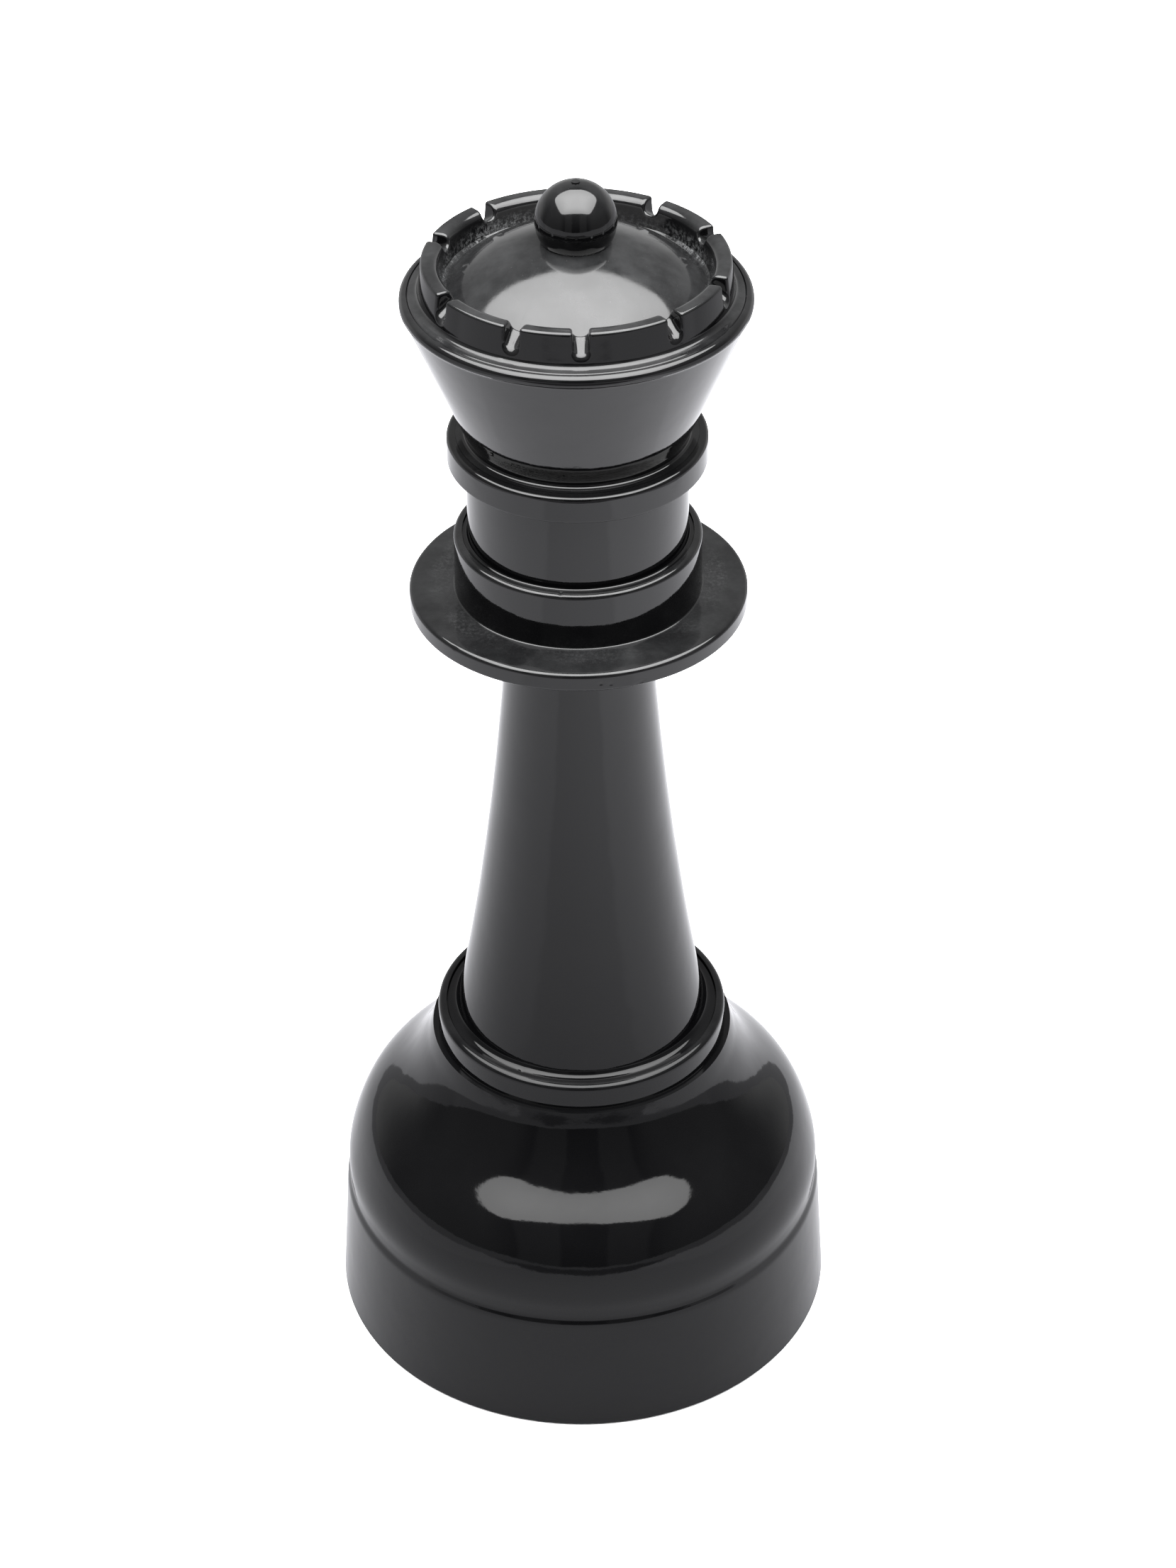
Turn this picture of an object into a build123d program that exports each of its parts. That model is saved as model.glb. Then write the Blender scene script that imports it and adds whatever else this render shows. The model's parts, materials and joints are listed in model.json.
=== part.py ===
"""Giant garden chess queen: a hollow moulded piece that stacks from a weighted base, a stem and a head.

Millimetres, +Z up.  The origin is the centre of the circle that the base rim stands on.
Every piece is turned about +Z; only the crown's battlements and the screw circles break that symmetry.
"""
import os
from math import atan2, cos, degrees, hypot, radians, sin

from build123d import *

# ---- driving dimensions -------------------------------------------------------------------------
WALL = 3.5                # moulded wall of the base
THIN_WALL = 3.2           # moulded wall of the stem, neck and head
SLIP = 0.4                # radial gap of a spigot in its socket
SEAT_GAP = 0.3            # gap under a spigot, and between a section and the one it stands on
EDGE = 1.2                # rounding of the lower rims that show
RING_ROUNDING = 2.8       # rounding of the lower ring's upper edge
FINE_ROUNDING = 2.0       # the same of the disc, the cup and the upper ring

# base
BASE_R = 112.5            # the rim that stands on the ground
BAND_TOP_R, BAND_TOP_Z = 108.9, 56.0
BAND_FOOT_STEP = 0.1      # how far the band's foot draws in over its bottom edge
SHOULDER_R, SHOULDER_Z = 108.5, 58.2
GROOVE_R, GROOVE_Z = 107.4, 61.6
BAND_RUN, GROOVE_RUN = (-0.06, 1), (-0.02, 1)     # directions of the outline at both ends of the shoulder
DOME_POINTS = [(107.65, 70.0), (104.9, 84.0), (97.9, 99.0), (85.9, 112.0), (76.2, 124.0), (70.0, 136.0)]
DOME_TOP_RUN = (-0.32, 1)  # direction in which the outline meets the base's top
BASE_TOP_R, BASE_TOP_Z = 66.9, 145.2
BASE_TOP_WALL, CEILING_CHAMFER = 4.0, 2.2
NECK_HOLE_R = 59.8
RIM_WALL = 4.5

# closing plate inside the base, and the sand on it
PLATE_R, PLATE_Z, PLATE_T = 105.6, 26.0, 4.0
RIB_MIDDLE_R, RIB_LENGTH, RIB_T, RIB_HEIGHT = 60.0, 68.0, 2.5, 4.0
GASKET_T = 1.5
LEDGE_R, LEDGE_T = 97.0, 4.0
PLATE_SCREWS, PLATE_SCREW_CIRCLE_R = 8, 101.5
BOSS_R, BOSS_HEIGHT = 4.6, 10.5
PLATE_SCREW_DEPTH, PILOT_SPARE = 12.5, 0.6
FILL_R, FILL_TOP_Z = 103.4, 72.0
FILL_GAP = 0.4            # room between the sand and what it lies against

# collar that the stem stands in
COLLAR_R, COLLAR_TOP_Z = 64.2, 157.9
SOCKET_BOTTOM_Z, SOCKET_FLOOR = 117.0, 3.0
SOCKET_R = 56.0
SOCKET_OUTER_R = 59.3
LOCKNUT_R, LOCKNUT_HEIGHT = 63.8, 8.0
LOCKNUT_NOTCHES, LOCKNUT_NOTCH_W, LOCKNUT_NOTCH_DEPTH = 6, 6.0, 2.5

# stem
STEM_POINTS = [(55.6, 156.6), (43.6, 228.0), (35.1, 299.5), (29.4, 370.6)]
STEM_FOOT_SLOPE, STEM_TOP_SLOPE = -0.196, -0.061
STEM_CAP = 8.0
STEM_SHOULDER_R, STEM_SHOULDER_T = 60.0, 1.2     # foot ring, let into the collar's top
STEM_FOOT_ROUNDING = 3.6
SPIGOT_CHAMFER = 0.8

# disc and cup on top of the stem
DISC_R, DISC_TOP_Z = 70.3, 378.8
CUP_R, CUP_TOP_Z = 51.2, 404.1
CUP_FLOOR_Z = 376.0
CUP_DRAFT = 0.3           # how much wider the cup is at its foot
CUP_FOOT_ROUNDING = 0.7
CUP_SCREWS, CUP_SCREW_CIRCLE_R = 4, 20.0
CUP_SCREW_SPARE = 1.5     # how far a screw's tip comes through the stem's cap
CUP_WASHER_T = 1.0

# neck and upper collar
NECK_R = 45.5
NECK_TOP_Z = 439.3
NECK_SHOULDER_R, NECK_SHOULDER_TOP_Z, NECK_SHOULDER_T = 47.5, 403.3, 1.0     # foot ring in the cup's rim
NECK_FOOT_ROUNDING = 1.1
NECK_FLOOR_Z, NECK_FLOOR_T = 392.0, 4.0
UPPER_COLLAR_R, UPPER_COLLAR_TOP_Z = 53.1, 451.0
UPPER_SEAT_Z = 444.8
NECK_SPIGOT_R = 41.6
PRESS_GAP = 0.1           # glued joints inside the head

# head cup
CUP_FOOT_R = 44.9
HEAD_SHOULDER_R, HEAD_SHOULDER_T = 49.4, 0.9     # foot ring, let into the upper collar's top
HEAD_FOOT_ROUNDING = 1.5
FLARE_TOP_R, FLARE_TOP_Z = 69.3, 509.8
LIP_R, LIP_TOP_Z, LIP_ROUNDING = 70.3, 514.7, 2.6
MOUTH_R, MOUTH_FLOOR_Z = 67.2, 511.0
MOUTH_LEDGE_R, MOUTH_LEDGE_T = 60.5, 4.0
CUP_FOOT_FLOOR_T = 4.0

# crown
CROWN_FLANGE_R = 67.0
WALL_FOOT_ROUNDING = 2.2
WALL_OUTER_ROUNDING, WALL_INNER_ROUNDING = 1.2, 1.8     # of the battlements' upper edges
WALL_FOOT_R, WALL_TOP_OUTER_R, WALL_TOP_INNER_R, WALL_FOOT_INNER_R = 62.8, 61.2, 54.4, 52.9
CROWN_TOP_Z = 529.0
DOME_R, DOME_EDGE_R, DOME_UNDER_EDGE_R = 76.8, 51.4, 49.0
SKIRT_TOP_R, SKIRT_FOOT_R = 57.4, 58.2
FINIAL_SEAT_R, FINIAL_SEAT_Z = 13.4, 536.8
NOTCH_ANGLES = [1.5, 38.0, 70.5, 113.0, 146.5, 183.0, 220.0, 252.0, 301.5, 336.0]
NOTCH_W = 6.6
NOTCH_INNER_Z, NOTCH_OUTER_Z = 524.2, 519.6
NOTCH_ROUNDING = 2.2

# ball finial and the rod that clamps the head
BALL_R, BALL_Z = 16.3, 545.5
GATE_R, GATE_HEIGHT = 1.7, 0.5
ROD_R, ROD_HOLE_R, THREAD_MINOR_R = 4.0, 4.4, 3.4
ROD_BOTTOM_Z, ROD_TOP_Z = 381.0, 550.0
INSERT_R, INSERT_TOP_Z = 6.0, 551.0
NUT_ACROSS_FLATS, NUT_HEIGHT = 13.0, 6.5
WASHER_R, WASHER_T = 12.0, 1.6

# filler plug
FILLER_R, FILLER_NECK_R, FILLER_NECK_HEIGHT = 19.0, 24.0, 12.0
PLUG_CLEARANCE = 0.05
PLUG_FLANGE_R, PLUG_FLANGE_T = 26.0, 3.5
PLUG_SEAL_T = 1.5
PLUG_GRIP_R, PLUG_GRIP_BAR = 15.0, 6.0
PLUG_TOP_T = 4.0

# self-tapping screws: shank radius, pilot radius, clearance radius, head radius, head height
SCREW_R, PILOT_R, SCREW_CLEAR_R, SCREW_HEAD_R, SCREW_HEAD_HEIGHT = 2.1, 1.7, 2.5, 4.2, 2.8


# ---- helpers --------------------------------------------------------------------------------------
def turned(face):
    """Solid of revolution about Z of a face drawn with x as radius and y as height."""
    return revolve(Plane.XZ * face, Axis.Z)


def section(*corners):
    """Face through corners (radius, height) or (radius, height, rounding)."""
    face = make_face(Polyline(*[corner[:2] for corner in corners], close=True))
    for corner in corners:
        if len(corner) == 3:
            face = fillet(face.vertices().sort_by_distance((corner[0], corner[1], 0))[0], corner[2])
    return face


def ring(inner_r, outer_r, low_z, high_z, rounding=0):
    """Flat ring or short tube; an inner radius of 0 gives a disc."""
    corners = [(inner_r, low_z), (outer_r, low_z), (outer_r, high_z), (inner_r, high_z)]
    if rounding:
        corners[1] += (rounding,)
        corners[2] += (rounding,)
    return turned(section(*corners))


def inset(points, wall):
    """Points of an outline moved inwards by the wall, square to the run through their neighbours."""
    moved = []
    for i, (r, z) in enumerate(points):
        before, after = points[max(i - 1, 0)], points[min(i + 1, len(points) - 1)]
        run_r, run_z = after[0] - before[0], after[1] - before[1]
        length = hypot(run_r, run_z)
        moved.append((r - wall * run_z / length, z + wall * run_r / length))
    return moved


def screw_circle(screw, count, circle_r):
    """Equal screws, or holes for them, on a circle about the axis."""
    return [Rot(0, 0, 360 / count * i) * Pos(circle_r, 0, 0) * screw for i in range(count)]


def pan_screw(seat_z, tip_z):
    """Self-tapping screw along Z whose head sits at seat_z; its head points away from its tip."""
    up = 1 if tip_z > seat_z else -1
    head_z = seat_z - up * SCREW_HEAD_HEIGHT / 2
    head = Pos(0, 0, head_z) * Cylinder(SCREW_HEAD_R, SCREW_HEAD_HEIGHT)
    outer_face = head.edges().filter_by(GeomType.CIRCLE).sort_by(Axis.Z)[0 if up > 0 else -1]
    head = fillet(outer_face, SCREW_HEAD_HEIGHT * 0.35)
    shank = Pos(0, 0, (seat_z + tip_z) / 2) * Cylinder(SCREW_R, abs(tip_z - seat_z))
    drive_z = seat_z - up * SCREW_HEAD_HEIGHT
    drive = [Pos(0, 0, drive_z) * Rot(0, 0, turn) * Box(4.6, 1.1, 2.4) for turn in (0, 90)]
    return head + shank - drive


# ---- base -----------------------------------------------------------------------------------------
def base_shell():
    """Bell-shaped casing: a drafted band, a soft groove, a dome and a coved neck, open below."""
    outline = [(GROOVE_R, GROOVE_Z), *DOME_POINTS, (BASE_TOP_R, BASE_TOP_Z)]
    inner = inset(outline, WALL)[:-1]
    ledge_z = PLATE_Z + PLATE_T + GASKET_T
    ceiling_z = BASE_TOP_Z - BASE_TOP_WALL
    inner_top_r = inner[-1][0] - CEILING_CHAMFER
    draft = (BASE_R - BAND_TOP_R) / BAND_TOP_Z
    skirt_r = BASE_R - RIM_WALL - draft * ledge_z
    edges = [
        Polyline((BASE_R - RIM_WALL, 0), (BASE_R - EDGE, 0), (BASE_R - BAND_FOOT_STEP, EDGE),
                 (BAND_TOP_R, BAND_TOP_Z)),
        Spline((BAND_TOP_R, BAND_TOP_Z), (SHOULDER_R, SHOULDER_Z), (GROOVE_R, GROOVE_Z),
               tangents=[BAND_RUN, GROOVE_RUN]),
        Spline(*outline, tangents=[GROOVE_RUN, DOME_TOP_RUN]),
        Polyline(outline[-1], (NECK_HOLE_R, BASE_TOP_Z), (NECK_HOLE_R, ceiling_z), (inner_top_r, ceiling_z),
                 inner[-1]),
        Spline(*inner[::-1], tangents=[(0.5, -1), (0, -1)]),
        Polyline(inner[0], (inner[0][0] + 0.3, ledge_z + LEDGE_T), (LEDGE_R, ledge_z + LEDGE_T),
                 (LEDGE_R, ledge_z), (skirt_r, ledge_z), (BASE_R - RIM_WALL, 0)),
    ]
    shell = turned(make_face(edges))
    boss = ring(0, BOSS_R, ledge_z, ledge_z + LEDGE_T + BOSS_HEIGHT)
    pilot = ring(0, PILOT_R, ledge_z - 1, ledge_z + PLATE_SCREW_DEPTH + PILOT_SPARE)
    shell += screw_circle(boss, PLATE_SCREWS, PLATE_SCREW_CIRCLE_R)
    return shell - screw_circle(pilot, PLATE_SCREWS, PLATE_SCREW_CIRCLE_R)


def base_plate():
    """Closing plate, recessed above the rim, with a threaded filler neck in its middle."""
    neck_top_z = PLATE_Z + PLATE_T + FILLER_NECK_HEIGHT
    plate = turned(section(
        (FILLER_R, PLATE_Z), (PLATE_R, PLATE_Z, 0.8), (PLATE_R, PLATE_Z + PLATE_T),
        (FILLER_NECK_R, PLATE_Z + PLATE_T), (FILLER_NECK_R, neck_top_z), (FILLER_R, neck_top_z)))
    clear = ring(0, SCREW_CLEAR_R, PLATE_Z - 1, PLATE_Z + PLATE_T + 1)
    rib = Pos(RIB_MIDDLE_R, 0, PLATE_Z + PLATE_T + RIB_HEIGHT / 2) * Box(RIB_LENGTH, RIB_T, RIB_HEIGHT)
    ribs = [Rot(0, 0, 360 / PLATE_SCREWS * (i + 0.5)) * rib for i in range(PLATE_SCREWS)]
    return plate + ribs - screw_circle(clear, PLATE_SCREWS, PLATE_SCREW_CIRCLE_R)


def base_plate_gasket():
    """Flat rubber ring between the plate and the ledge inside the shell."""
    low_z = PLATE_Z + PLATE_T
    clear = ring(0, SCREW_CLEAR_R, low_z - 1, low_z + GASKET_T + 1)
    return ring(LEDGE_R + 0.5, PLATE_R - 0.4, low_z, low_z + GASKET_T) - screw_circle(
        clear, PLATE_SCREWS, PLATE_SCREW_CIRCLE_R)


def base_plate_screws():
    screw = pan_screw(PLATE_Z, PLATE_Z + PLATE_T + GASKET_T + PLATE_SCREW_DEPTH)
    return screw_circle(screw, PLATE_SCREWS, PLATE_SCREW_CIRCLE_R)


def ballast_fill():
    """Sand that the owner pours in: it lies on the plate and over the filler neck."""
    plate_top = PLATE_Z + PLATE_T
    above_ribs = plate_top + RIB_HEIGHT + FILL_GAP
    above_neck = plate_top + FILLER_NECK_HEIGHT + FILL_GAP
    above_bosses = plate_top + GASKET_T + LEDGE_T + BOSS_HEIGHT + FILL_GAP
    return turned(section(
        (0, above_neck), (FILLER_NECK_R + FILL_GAP, above_neck), (FILLER_NECK_R + FILL_GAP, above_ribs),
        (LEDGE_R - FILL_GAP, above_ribs), (LEDGE_R - FILL_GAP, above_bosses), (FILL_R, above_bosses),
        (FILL_R, FILL_TOP_Z - 2), (0, FILL_TOP_Z)))


def base_collar():
    """Ring on top of the base, made in one with the closed socket that hangs below it."""
    seat_r, seat_z = STEM_SHOULDER_R + SLIP, STEM_POINTS[0][1] - STEM_SHOULDER_T - SEAT_GAP
    return turned(section(
        (0, SOCKET_BOTTOM_Z), (SOCKET_OUTER_R, SOCKET_BOTTOM_Z, 1.5), (SOCKET_OUTER_R, BASE_TOP_Z),
        (COLLAR_R + 0.3, BASE_TOP_Z, 0.4), (COLLAR_R, COLLAR_TOP_Z, RING_ROUNDING),
        (seat_r, COLLAR_TOP_Z, 0.3), (seat_r, seat_z), (SOCKET_R, seat_z, 0.6),
        (SOCKET_R, SOCKET_BOTTOM_Z + SOCKET_FLOOR), (0, SOCKET_BOTTOM_Z + SOCKET_FLOOR)))


def base_collar_locknut():
    """Ring nut on the socket's outside thread: it clamps the collar to the shell from within."""
    high_z = BASE_TOP_Z - BASE_TOP_WALL - 0.2
    nut = ring(SOCKET_OUTER_R - 0.3, LOCKNUT_R, high_z - LOCKNUT_HEIGHT, high_z)
    notch = Pos(LOCKNUT_R, 0, high_z - LOCKNUT_HEIGHT / 2) * Box(
        2 * LOCKNUT_NOTCH_DEPTH, LOCKNUT_NOTCH_W, LOCKNUT_HEIGHT + 1)
    return nut - [Rot(0, 0, 360 / LOCKNUT_NOTCHES * i) * notch for i in range(LOCKNUT_NOTCHES)]


def filler_plug():
    """Screw plug with a flange; a bar across the recess below gives the fingers a grip."""
    flange_top = PLATE_Z - PLUG_SEAL_T
    flange_low = flange_top - PLUG_FLANGE_T
    body_top = PLATE_Z + PLATE_T + FILLER_NECK_HEIGHT - 2
    body_r = FILLER_R - PLUG_CLEARANCE
    recess_top = body_top - PLUG_TOP_T
    plug = turned(section(
        (0, body_top), (body_r, body_top, 1.0), (body_r, flange_top), (PLUG_FLANGE_R, flange_top),
        (PLUG_FLANGE_R, flange_low, 1.0), (PLUG_GRIP_R, flange_low), (PLUG_GRIP_R, recess_top),
        (0, recess_top)))
    bar_low, bar_high = flange_low + 1, recess_top
    bar = Box(2 * PLUG_GRIP_R + 1, PLUG_GRIP_BAR, bar_high - bar_low)
    return plug + Pos(0, 0, (bar_low + bar_high) / 2) * bar


def filler_plug_seal():
    return ring(FILLER_R + 0.6, PLUG_FLANGE_R - 0.6, PLATE_Z - PLUG_SEAL_T, PLATE_Z, 0.4)


# ---- stem -----------------------------------------------------------------------------------------
def stem_shell():
    """Tapered tube: a straight spigot below, a concave taper above, closed by a thick cap."""
    spigot_r, spigot_z = SOCKET_R - SLIP, SOCKET_BOTTOM_Z + SOCKET_FLOOR + SEAT_GAP
    shoulder_z = STEM_POINTS[0][1]
    top_r, top_z = STEM_POINTS[-1]
    cap_z = top_z - STEM_CAP
    inner = inset(STEM_POINTS, THIN_WALL)
    inner[0] = (spigot_r - THIN_WALL, STEM_POINTS[0][1])
    inner[-1] = (inner[-1][0], cap_z)
    edges = [
        Polyline((spigot_r - THIN_WALL, spigot_z), (spigot_r - SPIGOT_CHAMFER, spigot_z),
                 (spigot_r, spigot_z + SPIGOT_CHAMFER), (spigot_r, shoulder_z - STEM_SHOULDER_T),
                 (STEM_SHOULDER_R, shoulder_z - STEM_SHOULDER_T), (STEM_SHOULDER_R, shoulder_z),
                 STEM_POINTS[0]),
        Spline(*STEM_POINTS, tangents=[(STEM_FOOT_SLOPE, 1), (STEM_TOP_SLOPE, 1)]),
        Polyline(STEM_POINTS[-1], (0, top_z), (0, cap_z), inner[-1]),
        Spline(*inner[::-1], tangents=[(-STEM_TOP_SLOPE, -1), (-STEM_FOOT_SLOPE, -1)]),
        Line(inner[0], (spigot_r - THIN_WALL, spigot_z)),
    ]
    face = make_face(edges)
    foot = face.vertices().sort_by_distance((*STEM_POINTS[0], 0))[0]
    pilot = ring(0, PILOT_R, cap_z - 1, top_z + 1)
    return turned(fillet(foot, STEM_FOOT_ROUNDING)) - screw_circle(pilot, CUP_SCREWS, CUP_SCREW_CIRCLE_R)


def collar_cup():
    """Round disc with a cup on it, screwed to the stem; the neck stands in the cup."""
    stem_top = STEM_POINTS[-1][1]
    cup_inner_r = NECK_R + SLIP
    seat_r, seat_z = NECK_SHOULDER_R + SLIP, NECK_SHOULDER_TOP_Z - NECK_SHOULDER_T - SEAT_GAP
    cup = turned(section(
        (0, stem_top), (DISC_R, stem_top, EDGE), (DISC_R, DISC_TOP_Z, FINE_ROUNDING),
        (CUP_R + CUP_DRAFT, DISC_TOP_Z, CUP_FOOT_ROUNDING), (CUP_R, CUP_TOP_Z, FINE_ROUNDING),
        (seat_r, CUP_TOP_Z), (seat_r, seat_z), (cup_inner_r, seat_z, 0.6),
        (cup_inner_r, CUP_FLOOR_Z), (0, CUP_FLOOR_Z)))
    clear = ring(0, SCREW_CLEAR_R, stem_top - 1, CUP_FLOOR_Z + 1)
    return cup - screw_circle(clear, CUP_SCREWS, CUP_SCREW_CIRCLE_R)


def collar_cup_washers():
    washer = ring(SCREW_CLEAR_R, SCREW_HEAD_R + 1.2, CUP_FLOOR_Z, CUP_FLOOR_Z + CUP_WASHER_T)
    return screw_circle(washer, CUP_SCREWS, CUP_SCREW_CIRCLE_R)


def collar_cup_screws():
    screw = pan_screw(CUP_FLOOR_Z + CUP_WASHER_T, STEM_POINTS[-1][1] - STEM_CAP - CUP_SCREW_SPARE)
    return screw_circle(screw, CUP_SCREWS, CUP_SCREW_CIRCLE_R)


# ---- head -----------------------------------------------------------------------------------------
def neck_sleeve():
    """Straight tube that stands in the cup; its raised floor carries the clamping rod's nut."""
    low_z = CUP_FLOOR_Z + SEAT_GAP
    inner_r, spigot_inner_r = NECK_R - THIN_WALL, NECK_SPIGOT_R - THIN_WALL
    spigot_top_z = UPPER_SEAT_Z - 0.2
    floor_top_z = NECK_FLOOR_Z + NECK_FLOOR_T
    shoulder_low_z = NECK_SHOULDER_TOP_Z - NECK_SHOULDER_T
    return turned(section(
        (ROD_HOLE_R, NECK_FLOOR_Z), (inner_r, NECK_FLOOR_Z), (inner_r, low_z), (NECK_R, low_z, 0.8),
        (NECK_R, shoulder_low_z), (NECK_SHOULDER_R, shoulder_low_z), (NECK_SHOULDER_R, NECK_SHOULDER_TOP_Z),
        (NECK_R, NECK_SHOULDER_TOP_Z, NECK_FOOT_ROUNDING),
        (NECK_R, NECK_TOP_Z), (NECK_SPIGOT_R, NECK_TOP_Z), (NECK_SPIGOT_R, spigot_top_z),
        (spigot_inner_r, spigot_top_z), (spigot_inner_r, NECK_TOP_Z - 2), (inner_r, NECK_TOP_Z - 6),
        (inner_r, floor_top_z), (ROD_HOLE_R, floor_top_z)))


def upper_collar():
    """Ring that joins the neck to the head cup."""
    seat_r, seat_z = HEAD_SHOULDER_R + PRESS_GAP, UPPER_COLLAR_TOP_Z - HEAD_SHOULDER_T
    return turned(section(
        (NECK_SPIGOT_R + PRESS_GAP, NECK_TOP_Z), (UPPER_COLLAR_R, NECK_TOP_Z, 0.7),
        (UPPER_COLLAR_R, UPPER_COLLAR_TOP_Z, FINE_ROUNDING), (seat_r, UPPER_COLLAR_TOP_Z), (seat_r, seat_z),
        (CUP_FOOT_R + SLIP, seat_z, 0.6),
        (CUP_FOOT_R + SLIP, UPPER_SEAT_Z), (NECK_SPIGOT_R + PRESS_GAP, UPPER_SEAT_Z)))


def head_cup():
    """Flared cup with a rolled lip; the crown drops into its mouth."""
    floor_top_z = UPPER_SEAT_Z + CUP_FOOT_FLOOR_T
    shoulder_low_z = UPPER_COLLAR_TOP_Z - HEAD_SHOULDER_T + PRESS_GAP
    shoulder_top_z = shoulder_low_z + HEAD_SHOULDER_T
    return turned(section(
        (ROD_HOLE_R, UPPER_SEAT_Z), (CUP_FOOT_R, UPPER_SEAT_Z), (CUP_FOOT_R, shoulder_low_z),
        (HEAD_SHOULDER_R, shoulder_low_z), (HEAD_SHOULDER_R, shoulder_top_z),
        (CUP_FOOT_R, shoulder_top_z, HEAD_FOOT_ROUNDING),
        (FLARE_TOP_R, FLARE_TOP_Z, 0.4), (LIP_R, FLARE_TOP_Z + 0.9, 0.5), (LIP_R, LIP_TOP_Z, LIP_ROUNDING),
        (MOUTH_R, LIP_TOP_Z, 0.2), (MOUTH_R, MOUTH_FLOOR_Z), (MOUTH_LEDGE_R, MOUTH_FLOOR_Z),
        (MOUTH_LEDGE_R, MOUTH_FLOOR_Z - MOUTH_LEDGE_T),
        (CUP_FOOT_R - THIN_WALL, floor_top_z + 2), (CUP_FOOT_R - THIN_WALL, floor_top_z),
        (ROD_HOLE_R, floor_top_z)))


def notch_cutter():
    """Bar that cuts one battlement gap: round-cornered below, its floor falling outwards."""
    fall = NOTCH_INNER_Z - NOTCH_OUTER_Z
    span = WALL_TOP_OUTER_R - WALL_TOP_INNER_R
    bar = Pos(0, 0, 12) * Box(36, NOTCH_W, 24)
    bar = fillet(bar.edges().filter_by(Axis.X).group_by(Axis.Z)[0], NOTCH_ROUNDING)
    middle_r = (WALL_TOP_OUTER_R + WALL_TOP_INNER_R) / 2
    tilt = degrees(atan2(fall, span))
    return Pos(middle_r, 0, (NOTCH_INNER_Z + NOTCH_OUTER_Z) / 2) * Rot(0, tilt, 0) * bar


def crown():
    """Domed lid with a battlemented ring round it and a flat seat for the finial."""
    dome_centre_z = FINIAL_SEAT_Z - (DOME_R ** 2 - FINIAL_SEAT_R ** 2) ** 0.5

    def dome(r, radius):
        return (r, dome_centre_z + (radius ** 2 - r ** 2) ** 0.5)

    thin = DOME_R - WALL
    under_seat_z = FINIAL_SEAT_Z - WALL
    inner_seat_r = (thin ** 2 - (under_seat_z - dome_centre_z) ** 2) ** 0.5
    under_edge = dome(DOME_UNDER_EDGE_R, thin)
    outer_edge = dome(DOME_EDGE_R, DOME_R)
    foot_z = outer_edge[1] + 0.5
    edges = [
        Polyline((ROD_HOLE_R, under_seat_z), (inner_seat_r, under_seat_z)),
        ThreePointArc((inner_seat_r, under_seat_z), dome(32, thin), under_edge),
        Polyline(under_edge, (SKIRT_TOP_R, under_edge[1]), (SKIRT_FOOT_R, MOUTH_FLOOR_Z + PRESS_GAP),
                 (CROWN_FLANGE_R, MOUTH_FLOOR_Z + PRESS_GAP), (CROWN_FLANGE_R, LIP_TOP_Z - 0.4),
                 (CROWN_FLANGE_R - 0.4, LIP_TOP_Z), (WALL_FOOT_R, LIP_TOP_Z),
                 (WALL_TOP_OUTER_R, CROWN_TOP_Z), (WALL_TOP_INNER_R, CROWN_TOP_Z),
                 (WALL_FOOT_INNER_R, foot_z), outer_edge),
        ThreePointArc(outer_edge, dome(34, DOME_R), (FINIAL_SEAT_R, FINIAL_SEAT_Z)),
        Polyline((FINIAL_SEAT_R, FINIAL_SEAT_Z), (ROD_HOLE_R, FINIAL_SEAT_Z), (ROD_HOLE_R, under_seat_z)),
    ]
    face = make_face(edges)
    roundings = [((WALL_TOP_OUTER_R, CROWN_TOP_Z), WALL_OUTER_ROUNDING),
                 ((WALL_TOP_INNER_R, CROWN_TOP_Z), WALL_INNER_ROUNDING),
                 ((WALL_FOOT_R, LIP_TOP_Z), WALL_FOOT_ROUNDING)]
    for (r, z), rounding in roundings:
        face = fillet(face.vertices().sort_by_distance((r, z, 0))[0], rounding)
    cutters = [Rot(0, 0, angle - 90) * notch_cutter() for angle in NOTCH_ANGLES]
    return turned(face) - cutters


def finial_ball():
    """Ball cut flat below, with the moulding gate's small nub on top and a socket for the insert."""
    ball = Pos(0, 0, BALL_Z) * Sphere(BALL_R)
    ball -= ring(0, 2 * BALL_R, FINIAL_SEAT_Z - BALL_R, FINIAL_SEAT_Z + PRESS_GAP)
    ball -= ring(0, INSERT_R, FINIAL_SEAT_Z - 1, INSERT_TOP_Z)
    top_z = BALL_Z + BALL_R
    return ball + ring(0, GATE_R, top_z - 1, top_z + GATE_HEIGHT)


def finial_insert():
    """Brass threaded insert moulded into the ball."""
    return ring(THREAD_MINOR_R, INSERT_R, FINIAL_SEAT_Z + 0.4, INSERT_TOP_Z - 0.2)


def head_tie_rod():
    return ring(0, ROD_R, ROD_BOTTOM_Z, ROD_TOP_Z, 0.8)


def head_tie_washer():
    return ring(ROD_HOLE_R, WASHER_R, NECK_FLOOR_Z - WASHER_T, NECK_FLOOR_Z)


def head_tie_nut():
    high_z = NECK_FLOOR_Z - WASHER_T
    flats = RegularPolygon(NUT_ACROSS_FLATS / 2, 6, major_radius=False)
    nut = Pos(0, 0, high_z - NUT_HEIGHT) * extrude(flats, NUT_HEIGHT)
    return nut - ring(0, THREAD_MINOR_R, high_z - NUT_HEIGHT - 1, high_z + 1)


PIECES = [
    base_shell, base_plate, base_plate_gasket, base_plate_screws, ballast_fill, base_collar,
    base_collar_locknut, filler_plug, filler_plug_seal, stem_shell, collar_cup, collar_cup_washers,
    collar_cup_screws, neck_sleeve, upper_collar, head_cup, crown, finial_ball, finial_insert,
    head_tie_rod, head_tie_washer, head_tie_nut,
]

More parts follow.
